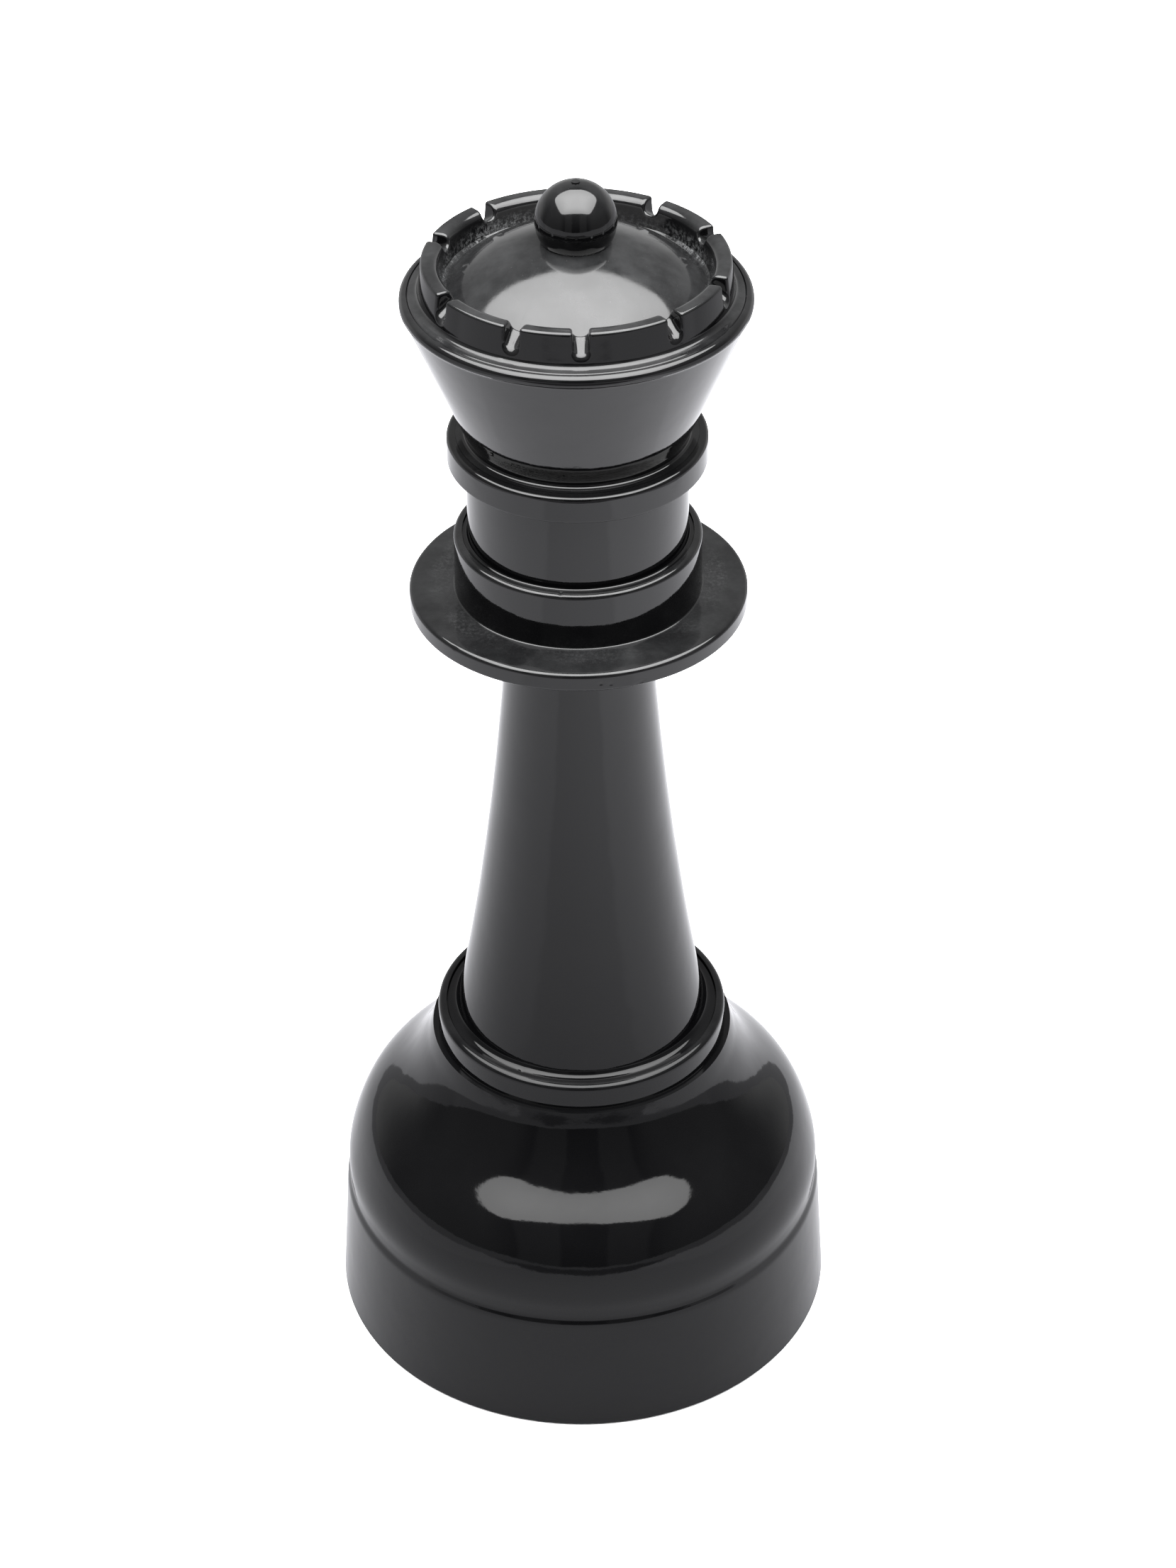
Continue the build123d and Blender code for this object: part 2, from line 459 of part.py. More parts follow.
os.makedirs("parts", exist_ok=True)
for piece in PIECES:
    made = piece()
    shape = Compound(children=made) if isinstance(made, list) else made
    export_step(shape, f"parts/{piece.__name__}.step")
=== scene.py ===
"""Looks of the giant garden chess queen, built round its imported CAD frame.

Every outer shell is turned again from its own CAD section on a fine grid, so that it can carry the slight
waviness, nicks and rounded battlements of a real moulding.  Metres, +Z up, -Y is the front.
"""

import json
from math import cos, hypot, pi, radians, sin

import bmesh
import bpy
import numpy as np
from mathutils import Matrix, Vector, noise


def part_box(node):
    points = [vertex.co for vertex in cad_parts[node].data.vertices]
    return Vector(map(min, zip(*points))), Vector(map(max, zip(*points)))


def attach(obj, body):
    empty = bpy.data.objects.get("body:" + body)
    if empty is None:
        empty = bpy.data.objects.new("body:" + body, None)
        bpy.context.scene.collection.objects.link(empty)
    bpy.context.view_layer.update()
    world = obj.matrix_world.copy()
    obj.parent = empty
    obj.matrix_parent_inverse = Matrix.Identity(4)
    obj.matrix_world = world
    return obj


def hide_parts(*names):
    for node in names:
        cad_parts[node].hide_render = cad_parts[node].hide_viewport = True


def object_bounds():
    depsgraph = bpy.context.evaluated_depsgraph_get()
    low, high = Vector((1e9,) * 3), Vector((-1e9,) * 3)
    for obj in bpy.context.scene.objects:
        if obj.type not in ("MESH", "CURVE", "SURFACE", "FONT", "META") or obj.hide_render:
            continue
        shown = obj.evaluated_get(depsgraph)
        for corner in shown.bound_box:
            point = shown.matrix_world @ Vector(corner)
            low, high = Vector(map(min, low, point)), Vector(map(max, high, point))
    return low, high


MM = 0.001

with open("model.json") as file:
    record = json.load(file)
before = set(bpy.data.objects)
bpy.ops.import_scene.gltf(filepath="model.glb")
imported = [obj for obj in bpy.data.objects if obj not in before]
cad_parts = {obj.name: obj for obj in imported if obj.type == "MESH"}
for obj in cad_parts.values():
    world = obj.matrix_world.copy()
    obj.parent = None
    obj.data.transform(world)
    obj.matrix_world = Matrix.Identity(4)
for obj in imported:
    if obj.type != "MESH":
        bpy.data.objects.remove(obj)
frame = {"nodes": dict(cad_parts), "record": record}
cad_low, cad_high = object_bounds()
nodes = frame["nodes"]
scene = bpy.context.scene


# ---- node graphs ------------------------------------------------------------------------------------
class Graph:
    """Short way to wire shader nodes: every method returns an output socket."""

    def __init__(self, tree):
        self.tree = tree
        tree.nodes.clear()

    def add(self, kind, settings=(), **inputs):
        node = self.tree.nodes.new(kind)
        for name, value in dict(settings).items():
            setattr(node, name, value)
        for name, value in inputs.items():
            self.feed(node.inputs[name.replace("_", " ")], value)
        return node

    def feed(self, socket, value):
        if isinstance(value, bpy.types.NodeSocket):
            self.tree.links.new(value, socket)
        else:
            socket.default_value = value

    def math(self, operation, a, b=0.0, clamp=False):
        node = self.add("ShaderNodeMath", {"operation": operation, "use_clamp": clamp})
        self.feed(node.inputs[0], a)
        self.feed(node.inputs[1], b)
        return node.outputs[0]

    def ramp(self, value, low, high, out_low=0.0, out_high=1.0, smooth=True):
        kind = "SMOOTHSTEP" if smooth else "LINEAR"
        node = self.add("ShaderNodeMapRange", {"interpolation_type": kind})
        for name, entry in (("Value", value), ("From Min", low), ("From Max", high),
                            ("To Min", out_low), ("To Max", out_high)):
            self.feed(node.inputs[name], entry)
        return node.outputs["Result"]

    def noise(self, place, scale, detail=2.0, roughness=0.5):
        return self.add("ShaderNodeTexNoise", Vector=place, Scale=scale, Detail=detail,
                        Roughness=roughness).outputs["Fac"]

    def scaled(self, vector, factors):
        node = self.add("ShaderNodeVectorMath", {"operation": "MULTIPLY"})
        self.feed(node.inputs[0], vector)
        self.feed(node.inputs[1], factors)
        return node.outputs[0]


def new_material(name):
    material = bpy.data.materials.new(name)
    material.use_nodes = True
    graph = Graph(material.node_tree)
    shader = graph.add("ShaderNodeBsdfPrincipled")
    output = graph.add("ShaderNodeOutputMaterial")
    graph.tree.links.new(shader.outputs[0], output.inputs["Surface"])
    place = graph.add("ShaderNodeTexCoord").outputs["Object"]
    return material, graph, shader, place


def bump(graph, height, distance, strength=1.0, after=None):
    node = graph.add("ShaderNodeBump", Height=height, Distance=distance, Strength=strength)
    if after is not None:
        graph.feed(node.inputs["Normal"], after)
    return node.outputs["Normal"]


def mix_colour(graph, factor, a, b):
    node = graph.add("ShaderNodeMix", {"data_type": "RGBA"})
    graph.feed(node.inputs[0], factor)
    graph.feed(node.inputs[6], a)
    graph.feed(node.inputs[7], b)
    return node.outputs[2]


# ---- materials --------------------------------------------------------------------------------------
PLASTIC_IOR = 1.5
BLACK = (0.0016, 0.0016, 0.0018, 1)
DUST = (0.29, 0.295, 0.30, 1)
DULL_Z, CLEAN_Z = 150 * MM, 375 * MM          # grime dulls the lower end of the piece
DULL_SHINE, CLEAN_SHINE = 0.22, 0.5
PEEL_DEPTH, RIPPLE_DEPTH = 0.01 * MM, 0.05 * MM
MOST_DUST = 0.9


def gloss_black(name, haze=0.002, roughness=0.045, dust_band=None):
    """Glossy moulded black: orange peel, faint scuffs, and dust that lies where the surface faces up.

    haze is the share of dust on level parts.  dust_band is (low z, high z, inner r, outer r, share),
    in metres, of a ring-shaped corner where dust gathers.
    """
    material, graph, shader, place = new_material(name)
    peel = graph.noise(place, 420, 2)
    ripple = graph.noise(place, 95, 1)
    normal = bump(graph, ripple, RIPPLE_DEPTH)
    graph.feed(shader.inputs["Normal"], bump(graph, peel, PEEL_DEPTH, after=normal))

    up = graph.add("ShaderNodeSeparateXYZ", Vector=graph.add("ShaderNodeNewGeometry").outputs["Normal"])
    level = graph.ramp(up.outputs["Z"], 0.15, 0.95)
    cloud = graph.ramp(graph.noise(place, 38, 6, 0.65), 0.3, 0.75, 0.4, 1.6)
    dust = graph.math("MULTIPLY", graph.math("MULTIPLY", level, cloud), haze)
    specks = graph.ramp(graph.noise(place, 900, 2, 0.7), 0.70, 0.80)
    dust = graph.math("ADD", dust, graph.math("MULTIPLY", specks, graph.math("MULTIPLY", level, haze * 3)))
    if dust_band:
        dust = graph.math("ADD", dust, gathered_dust(graph, place, *dust_band))
    dust = graph.math("MINIMUM", dust, MOST_DUST)
    graph.feed(shader.inputs["Base Color"], mix_colour(graph, dust, BLACK, DUST))

    scuffs = graph.ramp(graph.noise(graph.scaled(place, (1, 1, 2.2)), 24, 7, 0.7), 0.45, 0.8,
                        roughness, roughness + 0.05)
    graph.feed(shader.inputs["Roughness"], graph.math("ADD", scuffs, graph.math("MULTIPLY", dust, 1.2), True))
    shader.inputs["IOR"].default_value = PLASTIC_IOR
    height = graph.add("ShaderNodeSeparateXYZ", Vector=place).outputs["Z"]
    shine = graph.ramp(height, DULL_Z, CLEAN_Z, DULL_SHINE, CLEAN_SHINE, False)
    graph.feed(shader.inputs["Specular IOR Level"], shine)
    return material


def axis_distance(graph, x, y):
    """Distance from the Z axis."""
    return graph.math("SQRT", graph.math("ADD", graph.math("POWER", x, 2.0), graph.math("POWER", y, 2.0)))


def gathered_dust(graph, place, low_z, high_z, inner_r, outer_r, share):
    """Patchy grains in a ring-shaped corner: thickest at its foot and in the middle of its width."""
    xyz = graph.add("ShaderNodeSeparateXYZ", Vector=place)
    radius = axis_distance(graph, xyz.outputs["X"], xyz.outputs["Y"])
    middle, half = (inner_r + outer_r) / 2, (outer_r - inner_r) / 2
    near = graph.ramp(graph.math("ABSOLUTE", graph.math("SUBTRACT", radius, middle)), half, half * 0.35)
    deep = graph.ramp(xyz.outputs["Z"], high_z, low_z)
    grains = graph.ramp(graph.noise(place, 620, 5, 0.75), 0.42, 0.68)
    patches = graph.ramp(graph.noise(place, 34, 3), 0.38, 0.62, 0.15, 1.0)
    in_corner, gritty = graph.math("MULTIPLY", near, deep), graph.math("MULTIPLY", grains, patches)
    return graph.math("MULTIPLY", graph.math("MULTIPLY", in_corner, gritty), share)


def matte_black(name):
    """Unpolished inner moulding: spark-eroded texture."""
    material, graph, shader, place = new_material(name)
    grain = graph.noise(place, 1400, 3, 0.6)
    graph.feed(shader.inputs["Normal"], bump(graph, grain, 0.05 * MM))
    graph.feed(shader.inputs["Roughness"], graph.ramp(graph.noise(place, 60, 5), 0.3, 0.7, 0.42, 0.6))
    shade = graph.ramp(graph.noise(place, 25, 4), 0.3, 0.7)
    graph.feed(shader.inputs["Base Color"],
               mix_colour(graph, shade, (0.008, 0.008, 0.009, 1), (0.014, 0.014, 0.015, 1)))
    return material


def rubber(name):
    material, graph, shader, place = new_material(name)
    graph.feed(shader.inputs["Normal"], bump(graph, graph.noise(place, 2500, 2), 0.04 * MM))
    graph.feed(shader.inputs["Roughness"], graph.ramp(graph.noise(place, 80, 4), 0.3, 0.7, 0.65, 0.85))
    bloom = graph.ramp(graph.noise(place, 140, 5, 0.7), 0.45, 0.75)
    graph.feed(shader.inputs["Base Color"],
               mix_colour(graph, bloom, (0.012, 0.012, 0.012, 1), (0.035, 0.034, 0.032, 1)))
    return material


def sand(name):
    material, graph, shader, place = new_material(name)
    cell = graph.add("ShaderNodeTexVoronoi", Vector=place, Scale=1300)
    tint = graph.add("ShaderNodeSeparateXYZ", Vector=cell.outputs["Color"])
    graph.feed(shader.inputs["Base Color"], mix_colour(
        graph, tint.outputs["X"], (0.38, 0.27, 0.15, 1), (0.72, 0.6, 0.42, 1)))
    graph.feed(shader.inputs["Normal"], bump(graph, cell.outputs["Distance"], 0.5 * MM))
    graph.feed(shader.inputs["Roughness"], graph.ramp(tint.outputs["Y"], 0, 1, 0.7, 0.95))
    return material


def metal(name, colour, dull, low_rough, high_rough):
    """Turned metal with fine rings about Z and tarnish in patches."""
    material, graph, shader, place = new_material(name)
    rings = graph.noise(graph.scaled(place, (40, 40, 2600)), 1.0, 3)
    graph.feed(shader.inputs["Normal"], bump(graph, rings, 0.01 * MM))
    patches = graph.ramp(graph.noise(place, 180, 5, 0.65), 0.35, 0.7)
    graph.feed(shader.inputs["Base Color"], mix_colour(graph, patches, colour, dull))
    graph.feed(shader.inputs["Roughness"], graph.ramp(patches, 0, 1, low_rough, high_rough))
    shader.inputs["Metallic"].default_value = 1.0
    return material


INNER_FINISHES = {
    "matte_black": matte_black("matte_black"),
    "rubber_black": rubber("rubber_black"),
    "sand": sand("sand"),
    "zinc_steel": metal("zinc_steel", (0.62, 0.64, 0.66, 1), (0.42, 0.43, 0.42, 1), 0.22, 0.42),
    "brass_insert": metal("brass_insert", (0.78, 0.58, 0.26, 1), (0.5, 0.36, 0.17, 1), 0.2, 0.38),
}


# ---- sections of the CAD nodes ------------------------------------------------------------------------
OFF_PROFILE, CLOSEST = 0.1 * MM, 0.12 * MM    # how far off a vertex may lie, and how near to another
LONE_POINTS, SPARSE = 12, 1.2 * MM            # a circle with few vertices is no edge: it keeps wider gaps
CROWDED = 0.7                                 # share of the step below which a point may be left out
UNEVEN = 4.0                                  # past this ratio the longer leg alone sets the direction
CORNER_TURN, SLIGHT_TURN = radians(20), radians(3)


def cad_section(node, azimuth):
    """Outline [(radius, height)...] where the half-plane at that azimuth cuts a CAD node, in order."""
    mesh = nodes[node].data
    mesh.calc_loop_triangles()
    places = np.array([v.co for v in mesh.vertices], float)
    _, first, merged = np.unique(np.round(places, 6), axis=0, return_index=True, return_inverse=True)
    places, merged = places[first], merged.reshape(-1)
    out, across = places @ (cos(azimuth), sin(azimuth), 0), places @ (-sin(azimuth), cos(azimuth), 0)
    beside = across > 0
    neighbours = {}
    for triangle in mesh.loop_triangles:
        corners = [merged[i] for i in triangle.vertices]
        sides = zip(corners, corners[1:] + corners[:1])
        cut = [tuple(sorted((a, b))) for a, b in sides if beside[a] != beside[b]]
        if len(cut) == 2:
            neighbours.setdefault(cut[0], []).append(cut[1])
            neighbours.setdefault(cut[1], []).append(cut[0])

    def point(edge):
        a, b = edge
        share = across[a] / (across[a] - across[b])
        return (out[a] + share * (out[b] - out[a]), places[a][2] + share * (places[b][2] - places[a][2]))

    left, loops = set(neighbours), []
    for start in sorted(neighbours):
        if start not in left:
            continue
        loop, edge = [], start
        while edge is not None:
            left.discard(edge)
            loop.append(point(edge))
            edge = next((n for n in neighbours[edge] if n in left), None)
        loops.append(loop)
    return max(filter(None, map(outer_half, loops)), key=len)


def outer_half(loop):
    """The part of a loop at radius 0 or more, starting and ending on the axis where it crosses it."""
    if min(r for r, _ in loop) > 0:
        return loop
    if max(r for r, _ in loop) <= 0:
        return None
    start = next(i for i in range(len(loop)) if loop[i - 1][0] <= 0 < loop[i][0])
    loop = loop[start:] + loop[:start]
    inside = [p for p in loop if p[0] > 0]
    return [(0.0, inside[0][1]), *inside, (0.0, inside[-1][1])]


def area_sign(outline):
    return sum(a[0] * b[1] - b[0] * a[1] for a, b in zip(outline, outline[1:] + outline[:1]))


def exact_profile(node, outline, closed):
    """The section's outline again, through the node's own vertices: they lie on the true profile."""
    places = np.array([v.co for v in nodes[node].data.vertices], float)
    flat = np.stack([np.hypot(places[:, 0], places[:, 1]), places[:, 2]], -1)
    _, cell, count = np.unique(np.round(flat / (0.01 * MM)), axis=0, return_inverse=True, return_counts=True)
    flat = np.stack([np.bincount(cell.reshape(-1), column) / count for column in flat.T], -1)
    starts = np.array(outline)
    legs = np.roll(starts, -1, 0) - starts
    if not closed:
        starts, legs = starts[:-1], legs[:-1]
    lengths = np.maximum(np.hypot(*legs.T), 1e-9)
    travelled = np.concatenate([[0], np.cumsum(lengths)])
    gap = flat[:, None] - starts
    share = np.clip((gap * legs).sum(-1) / lengths ** 2, 0, 1)
    off = np.hypot(*np.moveaxis(gap - share[..., None] * legs, -1, 0))
    nearest = off.argmin(1)
    row = np.arange(len(flat))
    where = travelled[nearest] + share[row, nearest] * lengths[nearest]

    kept = [] if closed else [(0.0, outline[0]), (travelled[-1], outline[-1])]
    for i in np.argsort(-count, kind="stable"):
        spacing = CLOSEST if count[i] > LONE_POINTS else SPARSE
        if off[i, nearest[i]] < OFF_PROFILE and all(
                hypot(flat[i][0] - p[0], flat[i][1] - p[1]) > spacing for _, p in kept):
            kept.append((where[i], tuple(flat[i])))
    return [p for _, p in sorted(kept)]


def thinned(outline, step):
    """The outline without the points that hardly turn it and crowd the one before."""
    kept = [outline[0]]
    for point, following in zip(outline[1:-1], outline[2:]):
        arriving, leaving = Vector(point) - Vector(kept[-1]), Vector(following) - Vector(point)
        if arriving.length > CROWDED * step(*point) or arriving.angle(leaving) > SLIGHT_TURN:
            kept.append(point)
    return kept + [outline[-1]]


def resampled(outline, step, closed):
    """The outline curved through its points, with no gap over step(r, z); its corners stay sharp."""
    points = np.array(thinned(outline, step))
    legs = np.roll(points, -1, 0) - points
    lengths = np.hypot(*legs.T)[:, None]
    leaving = legs / lengths
    arriving, before = np.roll(leaving, 1, 0), np.roll(lengths, 1, 0)
    tangent = arriving * lengths + leaving * before
    tangent = np.where(lengths > UNEVEN * before, leaving, tangent)
    tangent = np.where(before > UNEVEN * lengths, arriving, tangent)
    tangent /= np.hypot(*tangent.T)[:, None]
    corner = (arriving * leaving).sum(1) < cos(CORNER_TURN)
    if not closed:
        corner[0] = corner[-1] = True
    start = np.where(corner[:, None], leaving, tangent)
    finish = np.where(np.roll(corner, -1)[:, None], leaving, np.roll(tangent, -1, 0))

    made = []
    for i in range(len(points) if closed else len(points) - 1):
        a, b, length = points[i], points[(i + 1) % len(points)], lengths[i, 0]
        count = max(1, round(length / step(*((a + b) / 2))))
        t = np.arange(count)[:, None] / count
        made += [tuple(p) for p in (
            (2 * t ** 3 - 3 * t ** 2 + 1) * a + (t ** 3 - 2 * t ** 2 + t) * length * start[i]
            + (3 * t ** 2 - 2 * t ** 3) * b + (t ** 3 - t ** 2) * length * finish[i])]
    return made if closed else made + [tuple(points[-1])]


# ---- meshes -------------------------------------------------------------------------------------------
SHARP_ANGLE = radians(33)


def mesh_object(name, places, faces, material):
    mesh = bpy.data.meshes.new(name)
    mesh.from_pydata([tuple(p) for p in places], [], faces)
    mesh.materials.append(material)
    mesh.validate()
    mesh.shade_smooth()
    mesh.set_sharp_from_angle(angle=SHARP_ANGLE)
    piece = bpy.data.objects.new(name, mesh)
    scene.collection.objects.link(piece)
    return piece


def turned_grid(outline, columns):
    """Points (rows x columns x 3) of an outline turned about Z; a row for each outline point."""
    turn = np.arange(columns) * 2 * pi / columns
    radius, height = np.array(outline).T
    grid = np.empty((len(outline), columns, 3))
    grid[:, :, 0] = radius[:, None] * np.sin(turn)
    grid[:, :, 1] = -radius[:, None] * np.cos(turn)
    grid[:, :, 2] = height[:, None]
    return grid


def grid_faces(rows, columns, closed, first_pole, last_pole):
    """Quads of a turned grid, with fans where its first or last row is one point on the axis."""
    faces = []
    for i in range(rows if closed else rows - 1):
        j = (i + 1) % rows
        for k in range(columns):
            n = (k + 1) % columns
            if first_pole and i == 0:
                faces.append((0, j * columns + k, j * columns + n))
            elif last_pole and j == rows - 1:
                faces.append((i * columns + k, j * columns, i * columns + n))
            else:
                faces.append((i * columns + k, j * columns + k, j * columns + n, i * columns + n))
    return faces


def grid_normals(grid, closed):
    """Outward normals at the grid's points, from its neighbours along and across."""
    if closed:
        along = np.roll(grid, -1, 0) - np.roll(grid, 1, 0)
    else:
        along = np.gradient(grid, axis=0)
    across = np.roll(grid, -1, 1) - np.roll(grid, 1, 1)
    normal = np.cross(across, along)
    length = np.linalg.norm(normal, axis=2, keepdims=True)
    return normal / np.maximum(length, 1e-12)


def waves(grid, size, height, seed):
    """Smooth random height over the points, its bumps about size across."""
    shift = Vector((seed * 7.13, seed * 3.71, seed * 5.37))
    flat = grid.reshape(-1, 3) / size
    return height * np.array([noise.noise(Vector(p) + shift) for p in flat]).reshape(grid.shape[:2])


def dent(grid, azimuth, radius, height, size, depth):
    """Height of a round-bottomed nick at that azimuth (degrees from the front), radius and height.

    size is its half size sideways, outwards and up; a depth below 0 makes it a raised mark.
    """
    a = radians(azimuth)
    centre = np.array((radius * sin(a), -radius * cos(a), height))
    outward = np.array((sin(a), -cos(a), 0))
    sideways = np.array((cos(a), sin(a), 0))
    gap = grid - centre
    reach = np.stack([gap @ sideways / size[0], gap @ outward / size[1], gap[..., 2] / size[2]], -1)
    return -depth * np.exp(-(reach ** 2).sum(-1) * 1.6)


INNER_STEP = 4                                # how much coarser a shell's hidden inside is
SKIN = 3 * MM                                 # what lies nearer the outermost wall is outer skin
WAVE_HEIGHT = 0.05 * MM
WAVE_SIZES = [(16 * MM, 1.0, 0), (42 * MM, 1.6, 40), (6 * MM, 0.25, 80)]    # size, share of height, seed
FLAT_FOOT = 3 * MM                            # the waves die out this far above the ground


def turned_shell(node, body, material, cut_azimuth, columns, outer_step, nicks=()):
    """A CAD node's shell turned again on a fine grid, waved and nicked, in place of the node."""
    outline = cad_section(node, radians(cut_azimuth))
    closed = outline[0][0] > 0
    outline = exact_profile(node, outline, closed)
    if area_sign(outline) < 0:
        outline = outline[::-1]
    outer = max(r for r, _ in outline)

    def step(r, z):
        return outer_step if r > surface_limit(outline, z, outer) else INNER_STEP * outer_step

    outline = resampled(outline, step, closed)
    grid = turned_grid(outline, columns)
    normal = grid_normals(grid, closed)
    seed = sorted(nodes).index(node) + 1
    height = sum(waves(grid, size, share * WAVE_HEIGHT, seed + more) for size, share, more in WAVE_SIZES)
    for nick in nicks:
        height += dent(grid, *nick)
    height *= np.clip(grid[..., 2] / FLAT_FOOT, 0, 1)
    if not closed:
        normal[0], normal[-1] = (0, 0, 0), (0, 0, 0)
    grid = grid + normal * height[..., None]
    faces = grid_faces(len(outline), columns, closed, not closed, not closed)
    piece = mesh_object(node + "_moulded", grid.reshape(-1, 3), faces, material)
    tidy_mesh(piece)
    return stand_for(piece, body, node)


def surface_limit(outline, z, outer):
    """Radius beyond which a point at height z is outer skin: just inside the outermost wall there."""
    reach = [max(a[0], b[0]) for a, b in zip(outline, outline[1:] + outline[:1])
             if min(a[1], b[1]) - MM <= z <= max(a[1], b[1]) + MM]
    return (max(reach) if reach else outer) - SKIN


def tidy_mesh(piece):
    """Drops loose poles and turns every face outwards."""
    work = bmesh.new()
    work.from_mesh(piece.data)
    bmesh.ops.delete(work, geom=[v for v in work.verts if not v.link_faces], context="VERTS")
    bmesh.ops.recalc_face_normals(work, faces=work.faces)
    work.to_mesh(piece.data)
    work.free()


def stand_for(piece, body, node):
    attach(piece, body)
    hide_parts(node)
    return piece


# ---- crown --------------------------------------------------------------------------------------------
NOTCH_AZIMUTHS = [1.5, 38.0, 70.5, 113.0, 146.5, 183.0, 220.0, 252.0, 301.5, 336.0]   # degrees from the front
NOTCH_HALF, NOTCH_FILLET, NOTCH_ROUND = 3.1 * MM, 2.6 * MM, 1.3 * MM
WALL_FOOT_FILLET = 2.2 * MM
OUTER_ROUND, INNER_ROUND = 1.2 * MM, 3.2 * MM        # of the battlements' upper edges
WALL_MIDDLE_R, WALL_ONLY_R = 58 * MM, 40 * MM        # beyond the second, the wall is the highest part
MERLON_STEP = 1.3 * MM
INNER_FOOT_R, INNER_TOP_R, OUTER_TOP_R, OUTER_FOOT_R = 52.9 * MM, 54.4 * MM, 61.2 * MM, 62.8 * MM
DOME_R, DOME_EDGE_R, SEAT_R = 76.8 * MM, 51.4 * MM, 13.4 * MM      # sphere, its edge, and the ball's seat
GAP_FLOOR_IN, GAP_FLOOR_OUT = 4.8 * MM, 9.4 * MM                   # of the gaps' floor, below the wall's top
FLANGE_R, FLANGE_INNER_R, FLANGE_ROUND = 67.0 * MM, 55 * MM, 0.4 * MM
DOME_FILLET = 1.1 * MM                                             # where the dome meets the wall
FINE_INSIDE_R, FINE_DEPTH = 50 * MM, 16 * MM                       # the wall and its foot have finer rows
FINE_ROW, COARSE_ROW = 0.75 * MM, 2.2 * MM
DRAWN_INSIDE_R = 50.5 * MM                                         # from here out, points follow the shape
CROWN_WAVES = [(14 * MM, 0.05 * MM, 77), (5 * MM, 0.012 * MM, 78)]  # size, height, seed


def round_max(a, b, radius):
    """The larger of two distances, with the corner between their surfaces rounded off."""
    corner = np.hypot(np.maximum(a + radius, 0), np.maximum(b + radius, 0)) - radius
    return np.where((a > -radius) & (b > -radius), corner, np.maximum(a, b))


def round_min(a, b, radius):
    return -round_max(-a, -b, radius)


def notch_columns():
    """Columns round the crown: (gap's azimuth, offset from its middle, height share), dense at its sides."""
    half = [(share * (NOTCH_HALF - NOTCH_FILLET), 0.0) for share in (0.0, 0.35, 0.7, 1.0)]
    for bend in np.radians((18, 36, 54, 72)):
        half.append((NOTCH_HALF - NOTCH_FILLET * (1 - sin(bend)), 0.2 * (1 - cos(bend))))
    half += [(NOTCH_HALF, share) for share in (0.2, 0.32, 0.44, 0.56, 0.68, 0.8)]
    for bend in np.radians((18, 36, 54, 72, 90)):
        half.append((NOTCH_HALF + NOTCH_ROUND * (1 - cos(bend)), 0.8 + 0.2 * sin(bend)))
    half += [(half[-1][0] + extra * MM, 1.0) for extra in (0.4, 1.0, 1.8)]
    side = [(-offset, share) for offset, share in half[:0:-1]] + half
    columns = []
    azimuths = [radians(a) for a in NOTCH_AZIMUTHS]
    for azimuth, following in zip(azimuths, azimuths[1:] + [azimuths[0] + 2 * pi]):
        columns += [(azimuth, offset, share) for offset, share in side]
        first = side[-1][0] / WALL_MIDDLE_R
        last = (following - azimuth) - first
        count = max(2, round((last - first) * WALL_MIDDLE_R / MERLON_STEP))
        columns += [(azimuth, WALL_MIDDLE_R * (first + (last - first) * k / count), 1.0)
                    for k in range(1, count)]
    return columns


def battlemented_crown(node, body, material, nicks):
    """Domed lid whose ring wall is cut by rounded gaps: a turned grid, drawn onto the rounded shape."""
    outline = exact_profile(node, cad_section(node, radians(MERLON_CUT)), True)
    if area_sign(outline) < 0:
        outline = outline[::-1]
    top = max(z for r, z in outline if r > WALL_ONLY_R)

    def step(r, z):
        return FINE_ROW if r > FINE_INSIDE_R and z > top - FINE_DEPTH else COARSE_ROW

    outline = resampled(outline, step, True)
    radius, height = np.array(outline).T
    columns = notch_columns()
    azimuth, offset, share = np.array(columns).T
    shape = crown_shape(max(height), top)

    # columns run parallel to the gap they are near, and radially elsewhere
    reach = np.clip(radius, 50 * MM, 65 * MM)[:, None]
    parallel = np.arcsin(np.clip(offset / reach, -1, 1))
    beside = np.clip((np.abs(offset) - 6 * MM) / (4 * MM), 0, 1)
    bearing = azimuth + parallel * (1 - beside) + offset / WALL_MIDDLE_R * beside

    # where a gap is, the wall's rows are pressed down to its floor
    on_wall = (radius > INNER_FOOT_R - 0.3 * MM) & (radius < OUTER_FOOT_R + 0.3 * MM)
    outside = radius > WALL_MIDDLE_R
    foot = np.where(outside, shape["flange_z"] + WALL_FOOT_FILLET, shape["dome_edge_z"])
    on_wall &= height > foot + 0.1 * MM
    floor = shape["floor"](radius)
    cap = floor[:, None] + (top - floor[:, None]) * share
    lowered = foot[:, None] + (height - foot)[:, None] * (cap - foot[:, None]) / (top - foot[:, None])
    z = np.where(on_wall[:, None], lowered, height[:, None])
    grid = np.stack([radius[:, None] * np.sin(bearing), -radius[:, None] * np.cos(bearing), z], -1)

    drawn = (radius > DRAWN_INSIDE_R) & (height > shape["flange_z"] - 0.2 * MM)
    grid[drawn] = drawn_onto(shape["distance"], grid[drawn])
    normal = grid_normals(grid, True)
    relief = sum(waves(grid, *wave) for wave in CROWN_WAVES) + sum(dent(grid, *nick) for nick in nicks)
    grid = grid + normal * relief[..., None]
    faces = grid_faces(len(outline), len(columns), True, False, False)
    piece = mesh_object(node + "_moulded", grid.reshape(-1, 3), faces, material)
    tidy_mesh(piece)
    return stand_for(piece, body, node)


